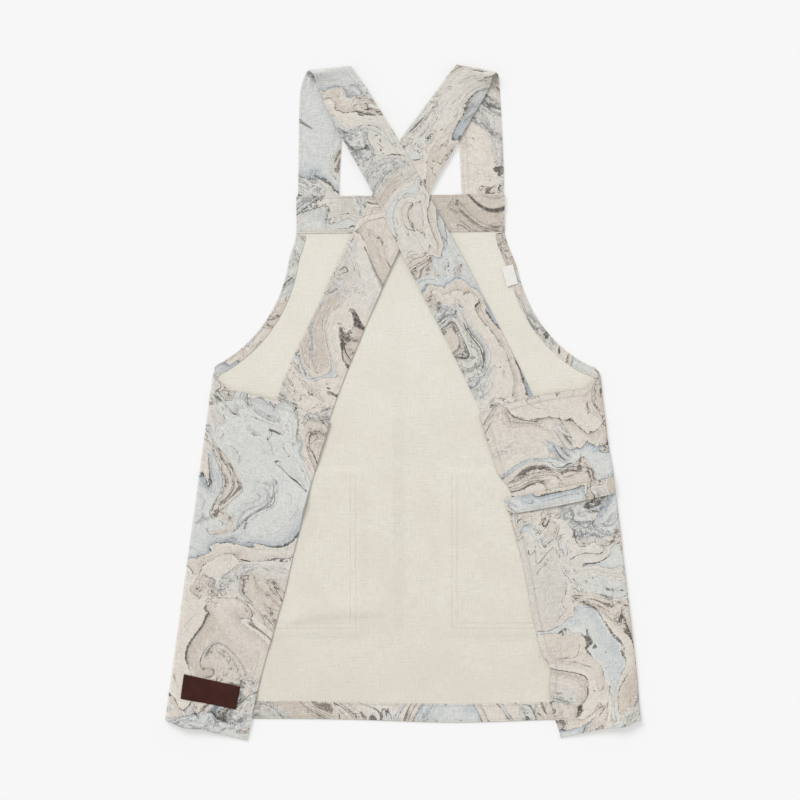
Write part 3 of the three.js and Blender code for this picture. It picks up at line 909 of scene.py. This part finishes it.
# a strip sewn to the inside: lower face just off the cloth along the way given, upper face with sewn edges
def facingPiece(name, node, base, way, inset, flat, size):
    relief = sewnRelief(inset, facingCut)
    relief = relief + facingCut["pucker"] * ripple(base[..., 0], base[..., 1], 12, 61)
    lower = base + way * facingLift
    upper = lifted(lower, facingCut["wall"] + relief, way)
    # the seam attribute here: painted shade in the stitched groove
    groove = ridge(inset, facingCut["seam"], 0.9)
    piece = clothWall(name, lower, upper, flat, [creamCloth, printCloth, printCloth], seam=groove)
    declare(node)


# how far the bib's facing climbs over the straps' ends: a step on either side, eased in from below
def strapClimb(x, y):
    c = facingCut
    sides = 1 - ease(x, *c["climbLeft"]) + ease(x, *c["climbRight"])
    return c["climb"] * (sides * ease(y, *c["climbFoot"]))


# the bib's top strip, from the bib's own lie, raised over the straps' ends
def buildBibFacing():
    top, tall = bodyCloth["bibTop"], facingCut["bibHeight"]
    y = blend(top - tall, top, graded(tall, 3, 1.2, 7))[:, None]
    across = graded(sum(bodyCloth["bibHalf"].values()), 4, 1.4, 7)[None] * 2 - 1
    base = bibBase(y, across)
    base = lifted(base, strapClimb(base[..., 0], y))
    inset = np.broadcast_to(np.minimum(y - top + tall, top - y), base.shape[:2])
    flat = base[..., :2] + np.array(facingCut["bibCut"])
    facingPiece("bib_band", "bib_facing", base, upward, inset, flat, (0.291, 0.052))


# the hem's strip, from the front's own lie
def buildHemFacing():
    height = facingCut["hemHeight"]
    share = 1 - blend(0.002, height / skirtLength, graded(height, 3, 1.2, 6))[:, None]
    across = np.linspace(-0.985, 0.985, 170)[None]
    base = skirtBase(share, across)
    tall = (1 - share) * skirtLength
    inset = np.broadcast_to(np.minimum(tall, height - tall), base.shape[:2])
    flat = base[..., :2] * np.array([1, -1]) + np.array(facingCut["hemCut"])
    facingPiece("hem_band", "hem_facing", base, upward, inset, flat, (0.655, 0.025))


# the armhole's edge at heights y, and the flat way square to it towards the middle
def armholeEdge(side, y):
    edge = bibBase(y, np.full(y.shape, float(side)))
    ahead = np.gradient(edge[:, :2], axis=0)
    ahead /= np.linalg.norm(ahead, axis=1, keepdims=True)
    return edge, np.stack([ahead[:, 1], -ahead[:, 0]], -1) * side


# the armhole's edge set in square to itself, then on round the upper end of the fold
def buildArmholeFacing(side, name, node):
    c = facingCut
    reach = c["armholeWidth"] * graded(c["armholeWidth"], 1.6, 1.0, 4)
    edge, inward = armholeEdge(side, np.linspace(c["armholeTop"], bodyCloth["armholeEnd"] + 1, 60))
    deep = c["armholeInset"] + reach
    at = edge[:, None, :2] + inward[:, None] * deep[None, :, None]
    turn, share = np.broadcast_arrays(np.linspace(0.2, pi, 12)[:, None], (deep / skirtLength)[None])
    roll, rollWay = foldBase(side, share, turn)
    base = np.concatenate([stack(at[..., 0], at[..., 1], 0.0), roll])
    way = np.concatenate([np.broadcast_to(upward, (*at.shape[:2], 3)), rollWay])
    inset = np.broadcast_to(np.minimum(reach, c["armholeWidth"] - reach), base.shape[:2])
    run = runLength(base[:, 0])
    flat = stack(reach[None] + c["armholeCut"][0] + c["armholeCut"][1] * side, run[:, None])
    grids = [grid[:, ::side] for grid in (base, way, inset, flat)]
    facingPiece(name, node, *grids, (0.013, round(float(run[-1]) * mm, 3)))


buildBibFacing()
buildHemFacing()
for side, hand in hands.items():
    buildArmholeFacing(side, "armhole_band_" + hand, "armhole_facing_" + hand)
print("facings made")


# straps: up from the bib, over a shoulder fold, down to the other wing

strapCut = {"wall": 2.0, "laidWidth": 62, "flatWidth": 0.067, "foldRadius": 3.9, "rowStep": 3.0,
            "seamInset": 10.5, "edgeInset": 4.0, "full": 0.8, "fullReach": 45,
            "wave": 0.3, "waveLength": 70, "waveSpan": (20, 60, 400, 470), "gatherSpan": (5, 12, 18, 48),
            "edgeGroove": 0.14, "seamGroove": 0.2, "rim": (0.5, 1.3), "puff": (0.2, 12, 24), "pucker": 0.12}
# gathers before the shoulder's open side: height, distance from that side, how fast they spread, width
strapGathers = [(1.1, 9, 0.12, 2.2), (0.7, 19, 0.2, 2.6)]
# the right strap's crumpled end: a place on the crest, the way across it, then height, place and width
crumpledEnd = {"at": (-124, 4), "way": (0.83, 0.55), "crest": (1.3, 0, 3.5), "trough": (0.08, 7, 4),
               "span": (-14, -2, 14, 30)}
# each row: left edge x, y, right edge x, y, height; the fold line is given by its two ends, with how far
# each end stands open and how far it slides along the fold as it turns over
strapLay = {
    "strap_left_cloth": {
        "node": "strap_left",
        "up": [(-147.5, 276, -91, 276, 1.3), (-147, 288, -90, 289, 1.3), (-146.5, 310, -89, 311, 0),
               (-145.5, 386, -84, 390, 0), (-143.5, 438, -77, 440, 0)],
        "fold": (-139.5, 463, -72, 471),
        "down": [(-119.5, 443, -56, 447, 5.4), (-105, 408, -40, 421, 5.1), (-85, 369, -20, 389, 5.1),
                 (-44, 296, 18, 324, 5.2), (-8, 221, 50, 264, 5.2), (34, 138, 94, 183, 2.6),
                 (62, 84, 124, 126, 1.5), (98, 10, 166, 43, 1.3), (117, -31, 191, -10, 1.3)],
        "cut": (-900, 1200), "seamSide": 1, "crumple": False, "curl": (2.1, 1.0), "lean": (14, 0),
    },
    "strap_right_cloth": {
        "node": "strap_right",
        "up": [(82, 276, 140, 276, 1.3), (82, 290, 140, 291, 1.3), (81, 312, 141, 313, 0),
               (77, 390, 138, 388, 0)],
        "fold": (74, 473, 136, 460),
        "down": [(61, 455, 121, 441, 4.6), (36, 421, 90, 387, 3.2), (-4, 367, 52, 321, 2.7),
                 (-38, 300, 16, 255, 2.8), (-71, 236, -14, 195, 2.8), (-101, 173, -39, 138, 1.6),
                 (-129, 114, -65, 77, 1.3), (-162, 44, -90, 14, 1.3), (-184, -16, -109, -40, 1.3)],
        "cut": (-1500, 300), "seamSide": -1, "crumple": True, "curl": (1.0, 2.05), "lean": (0, -10),
    },
}


# places along a curve through points that lie an even step apart
def evenPlaces(points, step):
    at = np.linspace(0, len(points) - 1, 400)
    length = runLength(curveThrough(points, at))
    return np.interp(np.linspace(0, length[-1], round(length[-1] / step) + 1), length, at)


# a strap as ruled rows: its left and right edge on the outer face, and the way to the inner face
def strapRows(lay):
    wall = strapCut["wall"]
    radius = strapCut["foldRadius"] * np.array(lay["curl"])[:, None]
    fold = np.array(lay["fold"], float).reshape(2, 2)
    along = (fold[1] - fold[0]) / np.linalg.norm(fold[1] - fold[0])
    back = np.array([along[1], -along[0]])
    lean = np.array(lay["lean"], float)[:, None] * along
    ends = np.pad(fold + back * radius, ((0, 0), (0, 1)))
    top = ends + np.pad(lean, ((0, 0), (0, 1))) + upward * (2 * radius - wall)
    up = np.array(lay["up"], float)
    down = np.array(lay["down"], float)
    edgeUp = [np.concatenate([up[:, [2 * k, 2 * k + 1, 4]], ends[k:k + 1]]) for k in (0, 1)]
    edgeDown = [np.concatenate([top[k:k + 1], down[:, [2 * k, 2 * k + 1, 4]]]) for k in (0, 1)]
    placeUp = evenPlaces((edgeUp[0] + edgeUp[1]) / 2, strapCut["rowStep"])
    placeDown = evenPlaces((edgeDown[0] + edgeDown[1]) / 2, strapCut["rowStep"])
    turn = np.linspace(0, pi, 11)[1:-1, None]
    edges = []
    for k in (0, 1):
        rise = curveThrough(edgeUp[k], placeUp)
        fall = curveThrough(edgeDown[k], placeDown)
        rise[:, 2] = np.maximum(rise[:, 2], 0)
        fall[:, 2] = np.maximum(fall[:, 2], 0) + wall
        over = fold[k] + lean[k] * turn / pi + back * radius[k] * (1 - np.sin(turn))
        bend = np.concatenate([over, radius[k] * (1 - np.cos(turn))], 1)
        edges.append(np.concatenate([rise, bend, fall]))
    bendWay = np.concatenate([back * np.sin(turn), np.cos(turn)], 1)
    way = np.concatenate([np.tile(upward, (len(placeUp), 1)), bendWay, np.tile(-upward, (len(placeDown), 1))])
    return edges[0], edges[1], way, len(placeUp), len(turn)


# a crest with a trough beside it across the strap's end, nearer to its right edge
def crumpled(base, across, past):
    c = crumpledEnd
    x, y = base[..., 0], base[..., 1]
    off = (x - c["at"][0]) * c["way"][0] + (y - c["at"][1]) * c["way"][1]
    (high, *crest), (deep, *trough) = c["crest"], c["trough"]
    near = ease(across, 0.55, 0.85)[None] * window(y, *c["span"]) * ease(past, 300, 400)
    return near * (high * ridge(off, *crest) - deep * ridge(off, *trough))


# the strap's cloth: the ruled rows, a fuller middle at the shoulder, sewn edges, small waves
def buildStrap(name, lay):
    c = strapCut
    left, right, way, upCount, bendCount = strapRows(lay)
    across = graded(c["laidWidth"], 3.4, 1.3, 13)
    base = blend(left[:, None], right[:, None], across[None, :, None])
    width = np.linalg.norm(right - left, axis=1)[:, None]
    run = runLength((left + right) / 2)
    shoulder = run[upCount + bendCount // 2]
    past = np.maximum(run - shoulder, 0)[:, None]
    full = np.sin(pi * across)[None] * np.exp(-past / c["fullReach"]) * ease(past, 0, 6)
    base = lifted(base, c["full"] * full)
    loose = window(past, *c["waveSpan"]) * c["wave"]
    base = lifted(base, loose * (ripple(base[..., 0], base[..., 1], c["waveLength"], 71) + 1))
    if lay["crumple"]:
        base = lifted(base, crumpled(base, across, past))
    fromLeft = across[None] * width
    before = np.maximum(shoulder - run, 0)[:, None]
    mouth = fromLeft if lay["lean"][0] else width - fromLeft  # from the side that slides, which stands open
    gathers = sum(tall * ridge(mouth, off + spread * before, wide)
                  for tall, off, spread, wide in strapGathers)
    base = lifted(base, gathers * window(before, *c["gatherSpan"]))
    fromSeam = fromLeft if lay["seamSide"] < 0 else width - fromLeft
    edge = np.minimum(fromLeft, width - fromLeft)
    (drop, reach), (puff, low, high) = c["rim"], c["puff"]
    dent = c["edgeGroove"] * ridge(edge, c["edgeInset"], 1.1)
    dent = dent + c["seamGroove"] * ridge(fromSeam, c["seamInset"], 1.2)
    dent = dent + drop * (1 - ease(edge, 0, reach)) - puff * ease(edge, low, high)
    dent = dent + c["pucker"] * ripple(run[:, None] + 0 * edge, edge * 2, 13, 81) * (1 - ease(edge, 12, 18))
    outer = lifted(base, dent, way[:, None])
    outer[..., 2] = np.maximum(outer[..., 2], 0)
    inner = lifted(base, c["wall"] - dent, way[:, None])
    flat = stack(fromLeft + lay["cut"][0], run[:, None] + lay["cut"][1])
    # the seam attribute here: painted shade in the grooves of the stitch rows
    groove = np.maximum(0.4 * ridge(edge, c["edgeInset"], 0.9), 0.8 * ridge(fromSeam, c["seamInset"], 1.0))
    piece = clothWall(name, outer, inner, flat, [printCloth] * 3, seam=groove)
    declare(lay["node"])
    # rows of stitches on both faces, near each edge and along the seam
    paths = []
    insets = (c["edgeInset"], -c["edgeInset"], c["seamInset"] * -lay["seamSide"])
    for face, sign in ((outer, -1), (inner, 1)):
        for place in insets:
            at = np.where(place > 0, place / width[:, 0], 1 + place / width[:, 0])
            rows = np.arange(len(at))
            spot = np.clip(np.searchsorted(across, at), 1, len(across) - 1)
            t = ((at - across[spot - 1]) / (across[spot] - across[spot - 1]))[:, None]
            paths.append((blend(face[rows, spot - 1], face[rows, spot], t), way * sign))
    stitchRows(name.replace("cloth", "stitches"), paths)


for strapName, strapLie in strapLay.items():
    buildStrap(strapName, strapLie)
print("straps made")


# pockets under the front: level patches with a turned mouth
def buildPocket(side, name, node):
    c = pocketCut
    wide, tall = c["width"], c["height"]
    right = c["inner"][side] + (wide if side > 0 else 0)
    x = (right - wide * (1 - graded(wide, 4, 1.4, 12)))[None]
    y = (c["foot"] + tall * graded(tall, 4, 1.4, 12))[:, None]
    toSide = np.minimum(x - x.min(), x.max() - x)
    inset = np.minimum(toSide, y - y.min())
    mouth = y.max() - y
    dent = sum(c["groove"] * ridge(inset, place, 1.1) for place in c["grooves"])
    dent = dent + c["mouthGroove"] * ridge(mouth + 0 * x, c["mouthHem"], 1.3)
    dent = dent + c["rim"] * (1 - ease(np.minimum(inset, mouth), 0, 1.2))
    outer = stack(x, y, dent)
    inner = stack(x, y, bodyCloth["wall"] + 0 * dent)
    flat = outer[..., :2] + np.array([c["cut"][0], side * c["cut"][1]])
    piece = clothWall(name, outer, inner, flat, [printCloth, creamCloth, printCloth])
    declare(node)


for side, hand in hands.items():
    buildPocket(side, "pocket_" + hand + "_cloth", "pocket_" + hand)
print("pockets made")


# patches on a wing: share of its length from and to, across from fold to free edge, lean, arch;
# the loop's long edges are lines in plan from end to end, the lower one sagging
loopCut = {"side": 1, "from": 0.279, "to": 0.325, "foldEnd": -0.03, "freeEnd": 1.0, "tilt": 0.019,
           "lower": np.array([[147.7, -156.4], [297.5, -126.7]]), "sag": 1.4,
           "upper": np.array([[141.4, -135.1], [294.7, -104.3]]),
           "arch": 1.6, "wall": 1.4, "gap": 0.9, "seam": 2.6, "endSeam": 5, "endGroove": 0.3,
           "groove": (0.22, 1.0), "puff": (0.2, 3, 8), "rim": (0.4, 1.2), "pucker": 0.12,
           "cut": (5000, 120), "size": (0.156, 0.022)}
labelCut = {"side": -1, "from": 0.859, "to": 0.929, "foldEnd": 0.12, "freeEnd": 0.795, "tilt": 0.0164,
            "arch": 0.0, "wall": 1.2, "gap": 0.3, "rim": (0.45, 1.2), "size": (0.080, 0.033)}


# a strip that follows the wing, lifted a little more between its ends
def patchGrid(cut, rows, columns):
    share = blend(cut["to"], cut["from"], rows)[:, None]
    across = blend(*(cut["freeEnd"], cut["foldEnd"])[::cut["side"]], columns)
    along = np.sin(pi * (across - cut["foldEnd"]) / (cut["freeEnd"] - cut["foldEnd"]))[None]
    base = wingBase(cut["side"], share - cut["tilt"] * across[None], across[None], 0.0)
    return lifted(base, cut["gap"] + cut["arch"] * along)


# the towel loop: a straight strip between two lines in plan, at the wing's height, with sewn edges and ends
def buildLoop():
    c = loopCut
    wide, tall = c["size"][0] / mm, c["size"][1] / mm
    rows, columns = graded(tall, 2.4, 1.0, 6), graded(wide, 3, 1.2, 8)
    base = patchGrid(c, rows, columns)
    lower, upper = (blend(*c[edge], columns[:, None]) for edge in ("lower", "upper"))
    lower[:, 1] -= c["sag"] * np.sin(pi * columns)
    base[..., :2] = blend(lower, upper, rows[:, None, None])
    inset = endInset(rows, tall)[:, None] + 0 * columns
    toEnd = endInset(columns, wide)[None] + 0 * inset
    seam, endSeam = c["seam"], c["endSeam"]
    relief = sewnRelief(inset, c) - c["endGroove"] * ridge(toEnd, endSeam, 1.3)
    relief = relief + c["pucker"] * ripple(base[..., 0], base[..., 1], 10, 91)
    top = lifted(base, c["wall"] + relief)
    flat = stack(columns[None] * wide + c["cut"][0], rows[:, None] * tall + c["cut"][1])
    # the seam attribute here: painted shade in the grooves of the seams
    groove = np.maximum(ridge(inset, seam, 0.8), ridge(toEnd, endSeam, 0.9))
    piece = clothWall("towel_strip", base, top, flat, [printCloth] * 3, seam=groove)
    declare("towel_loop")
    lines = [(top[nearest(rows * tall, goal)], upward) for goal in (seam, tall - seam)]
    ends = [(top[:, nearest(columns * wide, goal)], upward) for goal in (endSeam, wide - endSeam)]
    stitchRows("towel_strip_stitches", lines + ends)


# the label: a patch that follows the wing, its rim rounded down
def buildLabel():
    wide, tall = labelCut["size"][0] / mm, labelCut["size"][1] / mm
    rows, columns = graded(tall, 2, 0.6, 3), graded(wide, 2.4, 0.6, 3)
    base = patchGrid(labelCut, rows, columns)
    inset = np.minimum(endInset(rows, tall)[:, None], endInset(columns, wide)[None])
    drop, reach = labelCut["rim"]
    top = lifted(base, labelCut["wall"] - drop * (1 - ease(inset, 0, reach)))
    flat = stack(columns[None] * wide, rows[:, None] * tall)
    piece = clothWall("leather_label", base, top, flat, [labelHide] * 3)
    declare("label_patch")


tagCut = {"x": 149.5, "y": 177.7, "width": 16, "length": 28, "turn": 0.26, "wall": 0.5, "level": 2.6,
          "gap": 0.2, "curl": 0.4, "wave": 0.15}


# a small flat tag turned about the vertical, its free end curling up
def buildTag():
    c = tagCut
    u, v = (c[side] * (graded(c[side], 1.6, 0.8, 2) - 0.5) for side in ("width", "length"))
    u, v = u[None], v[:, None]
    x = c["x"] + u * np.cos(c["turn"]) - v * np.sin(c["turn"])
    y = c["y"] + u * np.sin(c["turn"]) + v * np.cos(c["turn"])
    curl = c["curl"] * ease(-u / c["width"], -0.5, 0.6) ** 2 + c["wave"] * np.sin(v / 6)
    outer = stack(x, y, c["level"] + curl + c["gap"])
    piece = clothWall("white_tag", outer, outer + upward * c["wall"], stack(u, v), [tagTape] * 3)
    declare("care_tag")


buildLoop()
buildLabel()
buildTag()
print("loop, label and tag made")


# rows of stitches round the wings and along both edges of the facings
def sewBody():
    lines = []
    band = bodyCloth["turnedEdge"]
    low, high = band / skirtLength, 1 - band / skirtLength
    top = facingLift + facingCut["wall"] - facingCut["threadSink"]  # the threads lie in the facings' grooves
    for side in hands:
        share = np.linspace(low, high, 160)
        free = 1 - band / wingWidth(side, share)
        lines.append(wingBase(side, share, free))
        for level in (low, high):
            across = np.linspace(0.02, 1 - band / wingWidth(side, level)[0], 80)
            lines.append(wingBase(side, level, across))
        heights = np.linspace(facingCut["armholeTop"] - 1, bodyCloth["armholeEnd"] + 1, 140)
        edge, inward = armholeEdge(side, heights)
        for reach in facingCut["armholeRows"]:
            at = edge[:, :2] + inward * reach
            lines.append(stack(at[:, 0], at[:, 1], top))
    seam = facingCut["seam"]
    across = np.linspace(-0.975, 0.975, 240)
    for tall in (seam, facingCut["hemHeight"] - seam):
        lines.append(skirtBase(1 - tall / skirtLength, across) + upward * top)
    for y in (bodyCloth["bibTop"] - seam, bodyCloth["bibTop"] - facingCut["bibHeight"] + seam):
        line = bibBase(y, across)
        lines.append(lifted(line, top + strapClimb(line[:, 0], y)))
    stitchRows("body_stitches", [(line, upward) for line in lines])


# two rows round three sides of each pocket, on the inside of the front and on the pocket's face
def sewPockets():
    paths = []
    for side, inner in pocketCut["inner"].items():
        outerX = inner + side * pocketCut["width"]
        for inset in pocketCut["rows"]:
            low, high = min(inner, outerX) + inset, max(inner, outerX) - inset
            foot, top = pocketCut["foot"] + inset, pocketCut["foot"] + pocketCut["height"]
            x = np.concatenate([np.full(60, low), np.linspace(low, high, 60), np.full(60, high)])
            y = np.concatenate([np.linspace(top, foot, 60), np.full(60, foot), np.linspace(foot, top, 60)])
            paths.append((stack(x, y, frontHeight(x, y) + bodyCloth["wall"]), upward))
            paths.append((stack(x, y, pocketCut["threadLevel"]), -upward))
    stitchRows("pocket_stitches", paths)


sewBody()
sewPockets()
print("stitches made")


# stage: frame is the width in view at the floor, in metres
stage = {"frame": 1.12, "lens": 85, "sensor": 36, "centre": (-0.0042, 0.0035), "floor": (0.6, 0.6, 0.6, 1),
         "floorHalf": 20.0, "floorDrop": 0.0003, "floorGlow": 0.33, "key": 1.62, "softness": 30,
         "keyPlace": (-1.5, 1.2, 2.2), "keyTilt": (-38, -34, 0), "world": 0.66}


# a pale floor, a soft sun, an even sky and a camera straight above
def buildStage():
    corners = np.array([[-1, -1, 0], [1, -1, 0], [1, 1, 0], [-1, 1, 0]]) * stage["floorHalf"]
    mesh = bpy.data.meshes.new("floor")
    mesh.from_pydata((corners - upward * stage["floorDrop"]).tolist(), [], [[0, 1, 2, 3]])
    material, _, shader = newMaterial("paleFloor", 0.95)
    fill(shader, {"Base Color": stage["floor"], "Emission Color": (1, 1, 1, 1),
                  "Emission Strength": stage["floorGlow"]})
    mesh.materials.append(material)
    placed("floor", mesh)
    key = bpy.data.lights.new("key", "SUN")
    key.angle = radians(stage["softness"])
    key.energy = stage["key"]
    lamp = placed("key", key)
    lamp.location = stage["keyPlace"]
    lamp.rotation_euler = [radians(tilt) for tilt in stage["keyTilt"]]
    world = bpy.data.worlds.new("studio")
    world.use_nodes = True
    fill(world.node_tree.nodes["Background"], {"Color": (1, 1, 1, 1), "Strength": stage["world"]})
    bpy.context.scene.world = world
    camera = bpy.data.cameras.new("above")
    camera.lens = stage["lens"]
    camera.sensor_width = stage["sensor"]
    above = placed("above", camera)
    above.location = (*stage["centre"], stage["frame"] * stage["lens"] / stage["sensor"])
    bpy.context.scene.camera = above
    bpy.context.scene.view_settings.view_transform = "Standard"


buildStage()
print("stage made")
